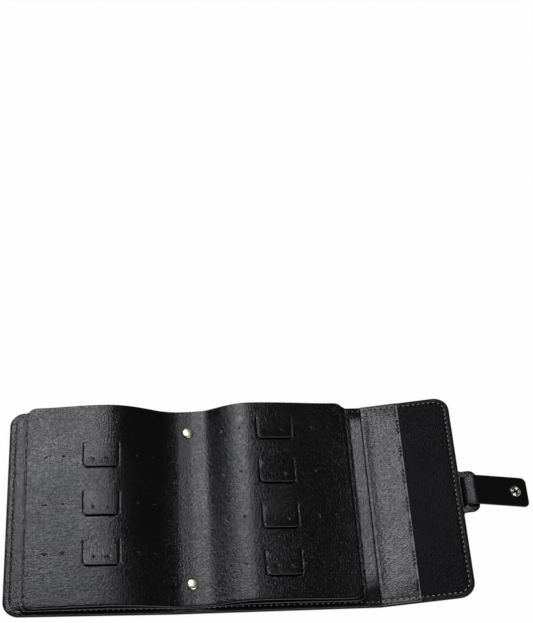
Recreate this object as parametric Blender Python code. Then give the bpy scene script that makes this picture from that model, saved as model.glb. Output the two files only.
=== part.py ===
"""An earring book lying open: a leather cover with a wrap flap, two bound leaves, a belt and a snap.

X runs across the open book, from the front cover to the flap. Y runs along the spine, away from
the reader. Z is up. The origin is the middle of the binding line, on the underside of the belt.
"""

import math

import bmesh
import bpy
from mathutils import Vector
from mathutils.geometry import delaunay_2d_cdt

# Cover
BOOK_HEIGHT = 0.200
FRONT_REACH = 0.1595
BACK_REACH = 0.1575
SPINE_WIDTH = 0.029
SPINE_RIGHT = 0.0129
GUSSET_WIDTH = 0.036
FLAP_WIDTH = 0.046
CORNER_RADIUS = 0.014
FLAP_TILT = math.radians(11)
LEATHER = 0.0012
LINING = 0.0008
LINING_INSET = 0.0006
BOARD = 0.0012
BOARD_MARGIN = 0.007
BOARD_RAMP = 0.0015
POCKET_HEM = 0.0012

# Gaps between pieces that touch, and half the gap at a fold
SEAT_GAP = 0.0003
FOLD_GAP = 0.00015

# Belt, the flap's tongue and the strap end
BELT_WIDTH = 0.029
BELT_THICKNESS = 0.0014
BELT_CORNER = 0.005
TONGUE_REACH = 0.0148
TONGUE_WIDTH = 0.041
TONGUE_CORNER = 0.007
TONGUE_FILLET = 0.002
SLOT_FROM_EDGE = 0.0017
SLOT_WIDTH = 0.0048
SLOT_SIDE_GAP = 0.001
STRAP_FOLD_GAP = 0.00045
STRAP_LENGTH = 0.0460
STRAP_DROOP = math.radians(22)
SNAP_FROM_END = 0.0118
STUD_BELT_TAIL = 0.010
SLOT_PASS_ANGLE = math.radians(40)
MITRE_SHARE = 0.5

# Snap fastener
CAP_RADIUS = 0.006
CAP_HEIGHT = 0.002
CAP_RIM = 0.0006
CAP_POST_RADIUS = 0.0029
CAP_POST_BORE = 0.0022
SOCKET_RADIUS = 0.005
SOCKET_BORE = 0.0023
SOCKET_HEIGHT = 0.0017
SOCKET_LIP = 0.0006
SOCKET_FLANGE = 0.0007
STUD_FLANGE_RADIUS = 0.0046
STUD_FLANGE = 0.00045
STUD_NUB_RADIUS = 0.0019
STUD_NECK_RADIUS = 0.0016
STUD_NUB_HEIGHT = 0.0017
STUD_NECK_SHARE = 1 / 3
POST_RADIUS = 0.0011
POST_FLANGE_RADIUS = 0.0041
REST_CLEARANCE = 0.00002

# Binding screws
SCREW_SPACING_SHARE = 0.75
BARREL_HEAD_RADIUS = 0.0050
BARREL_HEAD_HEIGHT = 0.0017
BARREL_RADIUS = 0.0023
BARREL_BORE = 0.0016
SCREW_HEAD_RADIUS = 0.0048
SCREW_HEAD = 0.0011
SCREW_SHANK_RADIUS = 0.0014
SCREW_HOLE_RADIUS = 0.0026
DRIVER_SLOT_WIDTH = 0.0010
DRIVER_SLOT_DEPTH = 0.0005

# Leaves
LEAF = 0.0010
UPPER_REACH = 0.1445
LOWER_REACH = 0.1472
UPPER_NEAR_INSET = 0.0045
LOWER_NEAR_INSET = 0.0038
LEAF_FAR_INSET = 0.0020
LEAF_CORNER = 0.006
LIFT_LENGTH = 0.006
LIFT_STEPS = 3
WAVE_START = 0.0035
WAVE_ROUNDING_SHARE = 0.1
LEFT_CREST_AT = 0.074
LEFT_CREST = 0.0132
LEFT_EDGE = 0.0085
LEFT_NEAR_SHARE = 0.43
RIGHT_CREST_AT = 0.059
RIGHT_CREST = 0.0123
RIGHT_EDGE = 0.0075
RIGHT_NEAR_SHARE = 0.64
LOWER_WAVE_SHARE = 0.5

# Earring holes and die-cut tabs, counted from the binding line
LEFT_ROWS = 3
LEFT_ROW_PITCH_SHARE = 0.235
LEFT_ROW_CENTRE_SHARE = 0.0
RIGHT_ROWS = 4
RIGHT_ROW_PITCH_SHARE = 0.223
RIGHT_ROW_CENTRE_SHARE = 0.025
INNER_PAIR_AT = 0.040
OUTER_PAIR_AT = 0.1195
PAIR_SPACING = 0.015
HOLE_RADIUS = 0.0009
TAB_AT = 0.079
TAB_WIDTH = 0.032
TAB_HEIGHT = 0.025
TAB_CORNER = 0.005
TAB_SLIT = 0.0008
TAB_PAIR_SPACING = 0.012
TAB_HOLE_DROP = 0.004

# Facets
ARC_STEPS = 6
ROUND_STEPS = 24
HOLE_STEPS = 6
SLIT_STEPS = 3
MARCH_STEPS = 24
GRID_COLUMN = 0.0115
GRID_ROW = 0.032
CUT_OVERRUN = 0.002
WELD_DISTANCE = 0.000003
SMOOTH_ANGLE = math.radians(40)

# Levels above the table, from the belt up
LEATHER_LOW = BELT_THICKNESS + SEAT_GAP
LEATHER_TOP = LEATHER_LOW + LEATHER
LINING_LOW = LEATHER_TOP + SEAT_GAP
LINING_TOP = LINING_LOW + LINING
BOARD_RISE = BOARD + SEAT_GAP
FOLD_LEVEL = LINING_TOP
LOWER_LEAF_LOW = LINING_TOP + SEAT_GAP
UPPER_LEAF_LOW = LOWER_LEAF_LOW + LEAF + SEAT_GAP
STACK_TOP = UPPER_LEAF_LOW + LEAF

# Places that follow from the sizes above
SPINE_LEFT = SPINE_WIDTH - SPINE_RIGHT
FRONT_WIDTH = FRONT_REACH - SPINE_LEFT
BACK_WIDTH = BACK_REACH - SPINE_RIGHT
FLAP_END = GUSSET_WIDTH + FLAP_WIDTH
TONGUE_END = FLAP_END + TONGUE_REACH
STRAP_FOLD_AT = TONGUE_END + STRAP_FOLD_GAP
STRAP_LEVEL = LEATHER_TOP + SEAT_GAP
SNAP_AT = STRAP_FOLD_AT + STRAP_LENGTH - SNAP_FROM_END
STUD_FROM_FOLD = BACK_WIDTH + GUSSET_WIDTH - SNAP_AT
COVER_TILT = math.asin((STUD_NUB_HEIGHT + REST_CLEARANCE) / STUD_FROM_FOLD)
FAR_EDGE = BOOK_HEIGHT / 2 - LEAF_FAR_INSET
SCREW_SPACING = BOOK_HEIGHT * SCREW_SPACING_SHARE
LEFT_ROW_PITCH = BOOK_HEIGHT * LEFT_ROW_PITCH_SHARE
LEFT_ROW_CENTRE = BOOK_HEIGHT * LEFT_ROW_CENTRE_SHARE
RIGHT_ROW_PITCH = BOOK_HEIGHT * RIGHT_ROW_PITCH_SHARE
RIGHT_ROW_CENTRE = BOOK_HEIGHT * RIGHT_ROW_CENTRE_SHARE

MATERIALS = {
    "cover_leather": ((0.020, 0.020, 0.023, 1), 0.42, 0.0),
    "lining_leather": ((0.024, 0.024, 0.027, 1), 0.50, 0.0),
    "leaf_leather": ((0.018, 0.018, 0.020, 1), 0.45, 0.0),
    "belt_leather": ((0.018, 0.018, 0.021, 1), 0.40, 0.0),
    "board": ((0.30, 0.27, 0.22, 1), 0.90, 0.0),
    "snap_metal": ((0.80, 0.78, 0.72, 1), 0.18, 1.0),
    "screw_brass": ((0.83, 0.70, 0.44, 1), 0.20, 1.0),
}


def material(name):
    """A plain surface with the piece's own colour, roughness and metallic value."""
    colour, roughness, metallic = MATERIALS[name]
    made = bpy.data.materials.new(name)
    made.use_nodes = True
    shader = made.node_tree.nodes["Principled BSDF"]
    shader.inputs["Base Color"].default_value = colour
    shader.inputs["Roughness"].default_value = roughness
    shader.inputs["Metallic"].default_value = metallic
    return made


def pivot(name, place, parent=None, turn=0):
    """An empty on a fold line, turned about the line. Pieces beyond the fold hang from it."""
    empty = bpy.data.objects.new(name, None)
    bpy.context.collection.objects.link(empty)
    empty.parent = parent
    empty.location = place
    empty.rotation_euler = (0, turn, 0)
    return empty


def piece(name, bm, finish, parent=None, smooth=False):
    """An object from a finished bmesh, facing outwards."""
    bmesh.ops.recalc_face_normals(bm, faces=bm.faces)
    mesh = bpy.data.meshes.new(name)
    bm.to_mesh(mesh)
    bm.free()
    obj = bpy.data.objects.new(name, mesh)
    bpy.context.collection.objects.link(obj)
    obj.parent = parent
    if finish:
        mesh.materials.append(material(finish))
    if smooth:
        mesh.shade_smooth()
        mesh.set_sharp_from_angle(angle=SMOOTH_ANGLE)
    return obj


def cut(obj, cutter):
    """Takes the cutter's shape out of obj."""
    cutter.hide_render = True
    cutter.display_type = "WIRE"
    cutter.parent = obj.parent
    boolean = obj.modifiers.new("cut", "BOOLEAN")
    boolean.operation = "DIFFERENCE"
    boolean.solver = "EXACT"
    boolean.object = cutter


def arc(centre, radius, start, end, steps=ARC_STEPS):
    """Points on a circle from one angle to another, in degrees."""
    points = []
    for i in range(steps + 1):
        angle = math.radians(start + (end - start) * i / steps)
        points.append((centre[0] + radius * math.cos(angle), centre[1] + radius * math.sin(angle)))
    return points


def panel_outline(low, high, left_radius=0, right_radius=0):
    """A rectangle from corner low to corner high, its left and its right corners rounded."""
    (x0, y0), (x1, y1) = low, high
    left, right = left_radius, right_radius
    points = arc((x0 + left, y1 - left), left, 90, 180) if left else [(x0, y1)]
    points += arc((x0 + left, y0 + left), left, 180, 270) if left else [(x0, y0)]
    points += arc((x1 - right, y0 + right), right, 270, 360) if right else [(x1, y0)]
    points += arc((x1 - right, y1 - right), right, 0, 90) if right else [(x1, y1)]
    return points


def slab(outline, low, high):
    """The outline as a slab between two levels."""
    bm = bmesh.new()
    face = bm.faces.new([bm.verts.new((x, y, low)) for x, y in outline])
    grown = bmesh.ops.extrude_face_region(bm, geom=[face])
    lifted = [item for item in grown["geom"] if isinstance(item, bmesh.types.BMVert)]
    bmesh.ops.translate(bm, verts=lifted, vec=(0, 0, high - low))
    return bm


def turned(profile, steps=ROUND_STEPS):
    """The closed profile of (radius, height) points turned round the Z axis."""
    bm = bmesh.new()
    rings = []
    for radius, height in profile:
        if radius == 0:
            rings.append([bm.verts.new((0, 0, height))])
            continue
        ring = []
        for i in range(steps):
            angle = 2 * math.pi * i / steps
            ring.append(bm.verts.new((radius * math.cos(angle), radius * math.sin(angle), height)))
        rings.append(ring)
    for lower, upper in zip(rings, rings[1:] + rings[:1]):
        if len(lower) == 1 and len(upper) == 1:
            continue
        for i in range(steps):
            corners = [lower[i % len(lower)], lower[(i + 1) % len(lower)]]
            corners += [upper[(i + 1) % len(upper)], upper[i % len(upper)]]
            bm.faces.new(list(dict.fromkeys(corners)))
    return bm


def moved(bm, place):
    """The bmesh shifted to its place."""
    bmesh.ops.translate(bm, verts=bm.verts, vec=place)
    return bm


def ribbon(path, width, thickness):
    """A strap of even thickness along a path of (x, z) points, its width along Y."""
    above, below = [], []
    for i, point in enumerate(path):
        here = Vector(point)
        into = (here - Vector(path[i - 1])).normalized() if i else None
        out = (Vector(path[i + 1]) - here).normalized() if i + 1 < len(path) else None
        along = ((into or out) + (out or into)).normalized()
        normal = Vector((-along.y, along.x))
        beyond = out or into
        square = normal.dot(Vector((-beyond.y, beyond.x)))
        reach = thickness / 2 / max(square, MITRE_SHARE)
        above.append(here + normal * reach)
        below.append(here - normal * reach)
    bm = bmesh.new()
    outline = above + below[::-1]
    face = bm.faces.new([bm.verts.new((p.x, -width / 2, p.y)) for p in outline])
    grown = bmesh.ops.extrude_face_region(bm, geom=[face])
    lifted = [item for item in grown["geom"] if isinstance(item, bmesh.types.BMVert)]
    bmesh.ops.translate(bm, verts=lifted, vec=(0, width, 0))
    return bm


def inside(point, outline):
    """Whether a point lies in a closed outline."""
    x, y = point
    found = False
    for (x0, y0), (x1, y1) in zip(outline, outline[1:] + outline[:1]):
        if (y0 > y) != (y1 > y) and x < x0 + (x1 - x0) * (y - y0) / (y1 - y0):
            found = not found
    return found


def die_cut(outline, holes, grid, creases):
    """A flat sheet as triangles: the outline less its holes, with points and creases to bend at."""
    points, edges = [], []
    for loop in [outline] + holes:
        first = len(points)
        points += loop
        edges += [(first + i, first + (i + 1) % len(loop)) for i in range(len(loop))]
    for start, end in creases:
        edges.append((len(points), len(points) + 1))
        points += [start, end]
    points += [p for p in grid if inside(p, outline) and not any(inside(p, h) for h in holes)]
    found = delaunay_2d_cdt([Vector(p) for p in points], edges, [], 0, WELD_DISTANCE)
    bm = bmesh.new()
    verts = [bm.verts.new((p.x, p.y, 0)) for p in found[0]]
    for corners in found[2]:
        middle = sum((found[0][i] for i in corners), Vector((0, 0))) / len(corners)
        if inside(middle, outline) and not any(inside(middle, h) for h in holes):
            bm.faces.new([verts[i] for i in corners])
    bmesh.ops.delete(bm, geom=[v for v in bm.verts if not v.link_faces], context="VERTS")
    return bm


def thicken(bm, thickness):
    """Gives a flat sheet its thickness, half above and half below."""
    grown = bmesh.ops.extrude_face_region(bm, geom=bm.faces[:])
    lifted = [item for item in grown["geom"] if isinstance(item, bmesh.types.BMVert)]
    bmesh.ops.translate(bm, verts=lifted, vec=(0, 0, thickness))
    return moved(bm, (0, 0, -thickness / 2))


# Cover


def leather_panel(name, low_x, high_x, parent, left_radius=0, right_radius=0, drop=0):
    """One stretch of the cover's outer leather. drop lowers it into a fold line's own frame."""
    half = BOOK_HEIGHT / 2
    outline = panel_outline((low_x, -half), (high_x, half), left_radius, right_radius)
    return piece(name, slab(outline, LEATHER_LOW - drop, LEATHER_TOP - drop), "cover_leather", parent)


def flat_lining(name, low_x, high_x, parent, drop=0, right_radius=0):
    """One stretch of plain lining."""
    half = BOOK_HEIGHT / 2 - LINING_INSET
    outline = panel_outline((low_x, -half), (high_x, half), 0, right_radius)
    return piece(name, slab(outline, LINING_LOW - drop, LINING_TOP - drop), "lining_leather", parent)


def raised_lining(name, low_x, high_x, parent, left_radius=0, drop=0):
    """Lining that steps up over a stiff board, with a sewn margin all round."""
    half = BOOK_HEIGHT / 2 - LINING_INSET
    outline = panel_outline((low_x, -half), (high_x, half), left_radius)
    bm = bmesh.new()
    face = bm.faces.new([bm.verts.new((x, y, LINING_TOP - drop)) for x, y in outline])
    bm.normal_update()
    if face.normal.z < 0:
        face.normal_flip()
    for step in (BOARD_MARGIN, BOARD_RAMP):
        rim = {"thickness": step, "use_boundary": True, "use_even_offset": True}
        bmesh.ops.inset_region(bm, faces=[face], **rim)
    bmesh.ops.translate(bm, verts=face.verts[:], vec=(0, 0, BOARD_RISE))
    sheet = bm.faces[:]
    grown = bmesh.ops.extrude_face_region(bm, geom=sheet, use_keep_orig=True)
    lowered = [item for item in grown["geom"] if isinstance(item, bmesh.types.BMVert)]
    bmesh.ops.translate(bm, verts=lowered, vec=(0, 0, -LINING))
    return piece(name, bm, "lining_leather", parent)


def board(name, low_x, high_x, parent, left_radius=0, drop=0):
    """The stiff board that the raised lining covers."""
    inset = BOARD_MARGIN + BOARD_RAMP + SEAT_GAP
    half = BOOK_HEIGHT / 2 - LINING_INSET - inset
    outline = panel_outline((low_x + inset, -half), (high_x - inset, half), left_radius)
    low = LEATHER_TOP + SEAT_GAP - drop
    return piece(name, slab(outline, low, low + BOARD), "board", parent)


def make_back_cover():
    """The half under the right-hand leaves, from the spine to the crease."""
    left, right = SPINE_RIGHT + FOLD_GAP, BACK_REACH - FOLD_GAP
    leather_panel("back_cover_leather", left, right, None)
    raised_lining("back_lining", left, right, None)
    board("back_board", left, right, None)


def make_front_cover(frame):
    """The half under the left-hand leaves, in the frame of its own fold."""
    left, right = -FRONT_WIDTH, -FOLD_GAP
    radius = CORNER_RADIUS
    leather_panel("front_cover_leather", left, right, frame, radius, drop=FOLD_LEVEL)
    edge, radius = left + LINING_INSET, radius - LINING_INSET
    raised_lining("front_lining", edge, right, frame, radius, drop=FOLD_LEVEL)
    radius -= BOARD_MARGIN + BOARD_RAMP
    board("front_board", edge, right, frame, radius, drop=FOLD_LEVEL)


def screw_holes(name, low, high):
    """Cutters for the two binding screws, as one round bar at each."""
    cutters = []
    for side in (-1, 1):
        profile = [(0, low), (SCREW_HOLE_RADIUS, low), (SCREW_HOLE_RADIUS, high), (0, high)]
        bm = moved(turned(profile), (0, side * SCREW_SPACING / 2, 0))
        cutters.append(piece(f"{name}_hole_{side}", bm, None))
    return cutters


def make_spine():
    """The narrow panel that the leaves are screwed to."""
    left, right = -SPINE_LEFT + FOLD_GAP, SPINE_RIGHT - FOLD_GAP
    outer = leather_panel("spine_leather", left, right, None)
    inner = flat_lining("spine_lining", left, right, None)
    for panel in (outer, inner):
        for cutter in screw_holes(panel.name, -CUT_OVERRUN, STACK_TOP + CUT_OVERRUN):
            cut(panel, cutter)


def flap_outline(start):
    """The flap with its rounded corners and the tongue that stands out from its edge."""
    half, reach = BOOK_HEIGHT / 2, TONGUE_WIDTH / 2
    corner, fillet, tip = CORNER_RADIUS, TONGUE_FILLET, TONGUE_CORNER
    points = [(start, half), (start, -half)]
    points += arc((FLAP_END - corner, -half + corner), corner, 270, 360)
    points += arc((FLAP_END + fillet, -reach - fillet), fillet, 180, 90, SLIT_STEPS)
    points += arc((TONGUE_END - tip, -reach + tip), tip, 270, 360)
    points += arc((TONGUE_END - tip, reach - tip), tip, 0, 90)
    points += arc((FLAP_END + fillet, reach + fillet), fillet, 270, 180, SLIT_STEPS)
    points += arc((FLAP_END - corner, half - corner), corner, 0, 90)
    return points


def make_gusset(frame):
    """The strip between the crease and the flap, with its pocket panel inside."""
    left, right = FOLD_GAP, GUSSET_WIDTH - FOLD_GAP
    leather_panel("gusset_leather", left, right, frame, drop=FOLD_LEVEL)
    flat_lining("pocket_panel", left, GUSSET_WIDTH - POCKET_HEM, frame, drop=FOLD_LEVEL)


def make_flap(frame):
    """The flap that wraps over the front cover, in the crease's frame moved to its own fold."""
    start = GUSSET_WIDTH + FOLD_GAP
    shape = [(x - GUSSET_WIDTH, y) for x, y in flap_outline(start)]
    low, high = LEATHER_LOW - FOLD_LEVEL, LEATHER_TOP - FOLD_LEVEL
    outer = piece("flap_leather", slab(shape, low, high), "cover_leather", frame)
    slot_low = FLAP_WIDTH + SLOT_FROM_EDGE
    slot_half = BELT_WIDTH / 2 + SLOT_SIDE_GAP
    slot = panel_outline((slot_low, -slot_half), (slot_low + SLOT_WIDTH, slot_half))
    cut(outer, piece("tongue_slot", slab(slot, low - CUT_OVERRUN, high + CUT_OVERRUN), None))
    end = FLAP_WIDTH - LINING_INSET
    flat_lining("flap_lining", FOLD_GAP, end, frame, FOLD_LEVEL, CORNER_RADIUS - LINING_INSET)


# Belt and snap


def flat_belt(name, low_x, high_x, parent, left_radius=0, right_radius=0, drop=0):
    """A straight stretch of the belt on the outside of the cover."""
    half = BELT_WIDTH / 2
    outline = panel_outline((low_x, -half), (high_x, half), left_radius, right_radius)
    return piece(name, slab(outline, -drop, BELT_THICKNESS - drop), "belt_leather", parent)


def make_belt(front, gusset, flap, strap):
    """The belt, from its stud end round the outside and through the tongue to the strap end."""
    flat_belt("back_belt", SPINE_RIGHT + FOLD_GAP, BACK_REACH - FOLD_GAP, None)
    flat_belt("spine_belt", -SPINE_LEFT + FOLD_GAP, SPINE_RIGHT - FOLD_GAP, None)
    end = -STUD_FROM_FOLD - STUD_BELT_TAIL
    stud_end = flat_belt("front_belt", end, -FOLD_GAP, front, BELT_CORNER, drop=FOLD_LEVEL)
    cut(stud_end, stud_cutter())
    flat_belt("gusset_belt", FOLD_GAP, GUSSET_WIDTH - FOLD_GAP, gusset, drop=FOLD_LEVEL)
    make_flap_belt(flap)
    make_strap_end(strap)


def make_flap_belt(frame):
    """The stretch that runs under the flap, up through the slot and over the tongue."""
    under = BELT_THICKNESS / 2 - FOLD_LEVEL
    over = STRAP_LEVEL + BELT_THICKNESS / 2 - FOLD_LEVEL
    slot_middle = FLAP_WIDTH + SLOT_FROM_EDGE + SLOT_WIDTH / 2
    run = (over - under) / math.tan(SLOT_PASS_ANGLE) / 2
    path = [(FOLD_GAP, under), (slot_middle - run, under), (slot_middle + run, over)]
    path.append((TONGUE_END - GUSSET_WIDTH, over))
    piece("flap_belt", ribbon(path, BELT_WIDTH, BELT_THICKNESS), "belt_leather", frame)


def make_strap_end(frame):
    """The free end of the belt, which carries the snap's cap and socket."""
    half = BELT_WIDTH / 2
    outline = panel_outline((STRAP_FOLD_GAP, -half), (STRAP_LENGTH, half), 0, BELT_CORNER)
    low = -BELT_THICKNESS / 2
    strap = piece("strap_end", slab(outline, low, low + BELT_THICKNESS), "belt_leather", frame)
    radius = CAP_POST_RADIUS + SEAT_GAP
    bar = [(0, low - CUT_OVERRUN), (radius, low - CUT_OVERRUN)]
    bar += [(radius, CUT_OVERRUN), (0, CUT_OVERRUN)]
    place = (STRAP_LENGTH - SNAP_FROM_END, 0, 0)
    cut(strap, piece("cap_hole", moved(turned(bar), place), None))
    make_cap_and_socket(frame, place)


def dome(radius, base, height, steps=ARC_STEPS):
    """Points of a domed profile from the rim at base to the crown on the axis."""
    points = []
    for i in range(steps + 1):
        angle = math.pi / 2 * i / steps
        points.append((radius * math.cos(angle), base + height * math.sin(angle)))
    points[-1] = (0, base + height)
    return points


def make_cap_and_socket(frame, place):
    """The domed cap outside the strap with its hollow post, and the socket ring inside."""
    outer = -BELT_THICKNESS / 2 - SEAT_GAP
    inner = BELT_THICKNESS / 2
    crown = dome(CAP_RADIUS, CAP_RIM, CAP_HEIGHT - CAP_RIM)
    shell = [(radius, outer - height) for radius, height in crown]
    profile = [(0, outer), (CAP_POST_BORE, outer), (CAP_POST_BORE, inner)]
    profile += [(CAP_POST_RADIUS, inner), (CAP_POST_RADIUS, outer), (CAP_RADIUS, outer)]
    piece("snap_cap", moved(turned(profile + shell), place), "snap_metal", frame, True)
    low = inner + SEAT_GAP
    high = low + SOCKET_HEIGHT
    ring = [(SOCKET_BORE, low), (SOCKET_RADIUS, low), (SOCKET_RADIUS, low + SOCKET_FLANGE)]
    ring += [(SOCKET_RADIUS - SOCKET_LIP, high - SOCKET_LIP / 2)]
    ring += [(SOCKET_RADIUS - 2 * SOCKET_LIP, high), (SOCKET_BORE + SOCKET_LIP, high)]
    ring += [(SOCKET_BORE, high - SOCKET_LIP)]
    piece("snap_socket", moved(turned(ring), place), "snap_metal", frame, True)


def stud_place():
    """The stud's centre on the underside of the belt, in the front cover's frame."""
    return (-STUD_FROM_FOLD, 0, -FOLD_LEVEL)


def stud_cutter():
    """The hole through the belt's stud end and the shallow seat on each face."""
    seat = STUD_FLANGE + SEAT_GAP / 2
    outer, inner = STUD_FLANGE_RADIUS + SEAT_GAP, POST_FLANGE_RADIUS + SEAT_GAP
    hole, top = POST_RADIUS + SEAT_GAP, BELT_THICKNESS + CUT_OVERRUN
    profile = [(0, -CUT_OVERRUN), (outer, -CUT_OVERRUN), (outer, seat), (hole, seat)]
    profile += [(hole, BELT_THICKNESS - seat), (inner, BELT_THICKNESS - seat)]
    profile += [(inner, top), (0, top)]
    return piece("stud_seat", moved(turned(profile), stud_place()), None)


def make_stud(frame):
    """The stud under the belt and the post that is riveted to it from inside."""
    neck, nub = STUD_NECK_RADIUS, STUD_NUB_RADIUS
    waist = -STUD_NUB_HEIGHT * STUD_NECK_SHARE
    crown = dome(nub, STUD_NUB_HEIGHT / 2, STUD_NUB_HEIGHT / 2, SLIT_STEPS)
    profile = [(0, STUD_FLANGE), (STUD_FLANGE_RADIUS, STUD_FLANGE), (STUD_FLANGE_RADIUS, 0)]
    profile += [(neck, 0), (neck, waist)]
    profile += [(radius, -height) for radius, height in crown]
    bm = moved(turned(profile), stud_place())
    piece("snap_stud", bm, "snap_metal", frame, True)
    top, flange = BELT_THICKNESS, BELT_THICKNESS - STUD_FLANGE
    foot = STUD_FLANGE + SEAT_GAP / 2
    profile = [(0, foot), (POST_RADIUS, foot), (POST_RADIUS, flange)]
    profile += [(POST_FLANGE_RADIUS, flange), (POST_FLANGE_RADIUS, top), (0, top)]
    bm = moved(turned(profile), stud_place())
    piece("stud_post", bm, "snap_metal", frame, True)


# Binding screws


def make_binding():
    """Two post screws: a domed barrel on the leaves and a slotted screw from behind."""
    head_low = STACK_TOP + SEAT_GAP
    foot = LEATHER_LOW - SEAT_GAP
    barrel_end = foot + 2 * SEAT_GAP
    crown = dome(BARREL_HEAD_RADIUS, head_low, BARREL_HEAD_HEIGHT)
    barrel = crown[::-1][:-1] + [(BARREL_HEAD_RADIUS, head_low), (BARREL_RADIUS, head_low)]
    barrel += [(BARREL_RADIUS, barrel_end), (BARREL_BORE, barrel_end), (BARREL_BORE, head_low)]
    barrel += [(0, head_low)]
    shank_top = head_low - SEAT_GAP
    screw = [(0, foot - SCREW_HEAD), (SCREW_HEAD_RADIUS, foot - SCREW_HEAD), (SCREW_HEAD_RADIUS, foot)]
    screw += [(SCREW_SHANK_RADIUS, foot), (SCREW_SHANK_RADIUS, shank_top), (0, shank_top)]
    for number, side in enumerate((1, -1), 1):
        place = (0, side * SCREW_SPACING / 2, 0)
        piece(f"binding_barrel_{number}", moved(turned(barrel), place), "screw_brass", None, True)
        made = piece(f"binding_screw_{number}", moved(turned(screw), place), "screw_brass", None, True)
        reach = SCREW_HEAD_RADIUS + CUT_OVERRUN
        half = DRIVER_SLOT_WIDTH / 2
        slot = panel_outline((-reach, -half), (reach, half))
        bottom = foot - SCREW_HEAD
        bm = moved(slab(slot, bottom - CUT_OVERRUN, bottom + DRIVER_SLOT_DEPTH), place)
        cut(made, piece(f"driver_slot_{number}", bm, None))


# Leaves


def round_hole(x, y):
    """An earring hole."""
    return arc((x, y), HOLE_RADIUS, 0, 360, HOLE_STEPS)[:-1]


def tab_slit(x, y):
    """The slit round a tab: down one side, across and up the other, so it hinges at its top."""
    top, low = y + TAB_HEIGHT / 2, y - TAB_HEIGHT / 2
    loop = []
    for inset, way in ((0, 1), (TAB_SLIT, -1)):
        half, corner = TAB_WIDTH / 2 - inset, TAB_CORNER - inset
        foot = low + inset
        path = [(x - half, top)]
        path += arc((x - half + corner, foot + corner), corner, 180, 270, SLIT_STEPS)
        path += arc((x + half - corner, foot + corner), corner, 270, 360, SLIT_STEPS)
        path += [(x + half, top)]
        loop += path[::way]
    return loop


def page_cuts(side, rows, pitch, centre, fold):
    """All holes and slits of one page, in the frame of its fold. side is -1 left, 1 right."""
    cuts = []
    for row in range(rows):
        y = centre + ((rows - 1) / 2 - row) * pitch
        for middle in (INNER_PAIR_AT, OUTER_PAIR_AT):
            for half in (-PAIR_SPACING / 2, PAIR_SPACING / 2):
                cuts.append(round_hole(side * (middle - fold + half), y))
        tab = side * (TAB_AT - fold)
        for half in (-TAB_PAIR_SPACING / 2, TAB_PAIR_SPACING / 2):
            cuts.append(round_hole(tab + half, y - TAB_HOLE_DROP))
        cuts.append(tab_slit(tab, y))
    return cuts


def eased(share):
    """A share from 0 to 1 that starts and ends gently."""
    return share * share * (3 - 2 * share)


def page_rise(u, y, near, near_share, crest_at, crest, edge, reach, wave_share):
    """How high a page stands above its fold, at u from the fold and y along it."""
    share = max(0.0, min(1.0, (y - near) / (FAR_EDGE - near)))
    growth = near_share + (1 - near_share) * share
    if u < crest_at:
        out = max(0.0, u - WAVE_START) / (crest_at - WAVE_START)
        climb = math.hypot(out, WAVE_ROUNDING_SHARE) - WAVE_ROUNDING_SHARE
        climb /= math.hypot(1, WAVE_ROUNDING_SHARE) - WAVE_ROUNDING_SHARE
        wave = crest * math.sin(math.pi / 2 * climb)
    else:
        past = (u - crest_at) / (reach - crest_at)
        wave = crest - (crest - edge) * (1 - math.cos(math.pi * past)) / 2
    lift = BOARD_RISE * eased(max(0.0, min(1.0, u / LIFT_LENGTH)))
    return lift + wave * growth * wave_share


def page_place(u, rise_at):
    """How far out and how high the sheet is at u along it, so that the wave keeps its length."""
    step = u / MARCH_STEPS
    along, height = 0.0, rise_at(0)
    for i in range(1, MARCH_STEPS + 1):
        climb = rise_at(step * i) - height
        along += math.sqrt(max(0.0, step * step - climb * climb))
        height += climb
    return along, height


def make_page(name, side, reach, near_inset, wave_share, parent, drop):
    """One page: a die-cut sheet, bent into its wave and held along its fold."""
    fold = SPINE_RIGHT if side > 0 else SPINE_LEFT
    crest_at = (RIGHT_CREST_AT if side > 0 else LEFT_CREST_AT) - fold
    crest, edge = (RIGHT_CREST, RIGHT_EDGE) if side > 0 else (LEFT_CREST, LEFT_EDGE)
    near_share = RIGHT_NEAR_SHARE if side > 0 else LEFT_NEAR_SHARE
    rows = RIGHT_ROWS if side > 0 else LEFT_ROWS
    pitch = RIGHT_ROW_PITCH if side > 0 else LEFT_ROW_PITCH
    centre = RIGHT_ROW_CENTRE if side > 0 else LEFT_ROW_CENTRE
    near = -BOOK_HEIGHT / 2 + near_inset
    far = FAR_EDGE
    inner, outer = side * FOLD_GAP, side * (reach - fold)
    low, high = (min(inner, outer), near), (max(inner, outer), far)
    radii = (0, LEAF_CORNER) if side > 0 else (LEAF_CORNER, 0)
    outline = panel_outline(low, high, *radii)
    columns, lines = int((reach - fold) / GRID_COLUMN), int((far - near) / GRID_ROW)
    grid = []
    for column in range(1, columns):
        for line in range(1, lines):
            x = side * (reach - fold) * column / columns
            grid.append((x, near + (far - near) * line / lines))
    bends = [side * LIFT_LENGTH * step / LIFT_STEPS for step in range(1, LIFT_STEPS + 1)]
    grid += [(x, near + (far - near) * line / lines) for x in bends for line in range(1, lines)]
    for y in (near, far):
        outline = with_bends(outline, y, [x for x, _ in grid[:: lines - 1]] + bends)
    creases = [((x, near), (x, far)) for x in bends]
    cuts = page_cuts(side, rows, pitch, centre, fold)
    bm = thicken(die_cut(outline, cuts, grid, creases), LEAF)
    for vert in bm.verts:
        y = vert.co.y
        form = (y, near, near_share, crest_at, crest, edge, reach - fold, wave_share)
        along, rise = page_place(abs(vert.co.x), lambda u: page_rise(u, *form))
        vert.co.x = side * along
        vert.co.z += rise + drop
    return piece(name, bm, "leaf_leather", parent)


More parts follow.
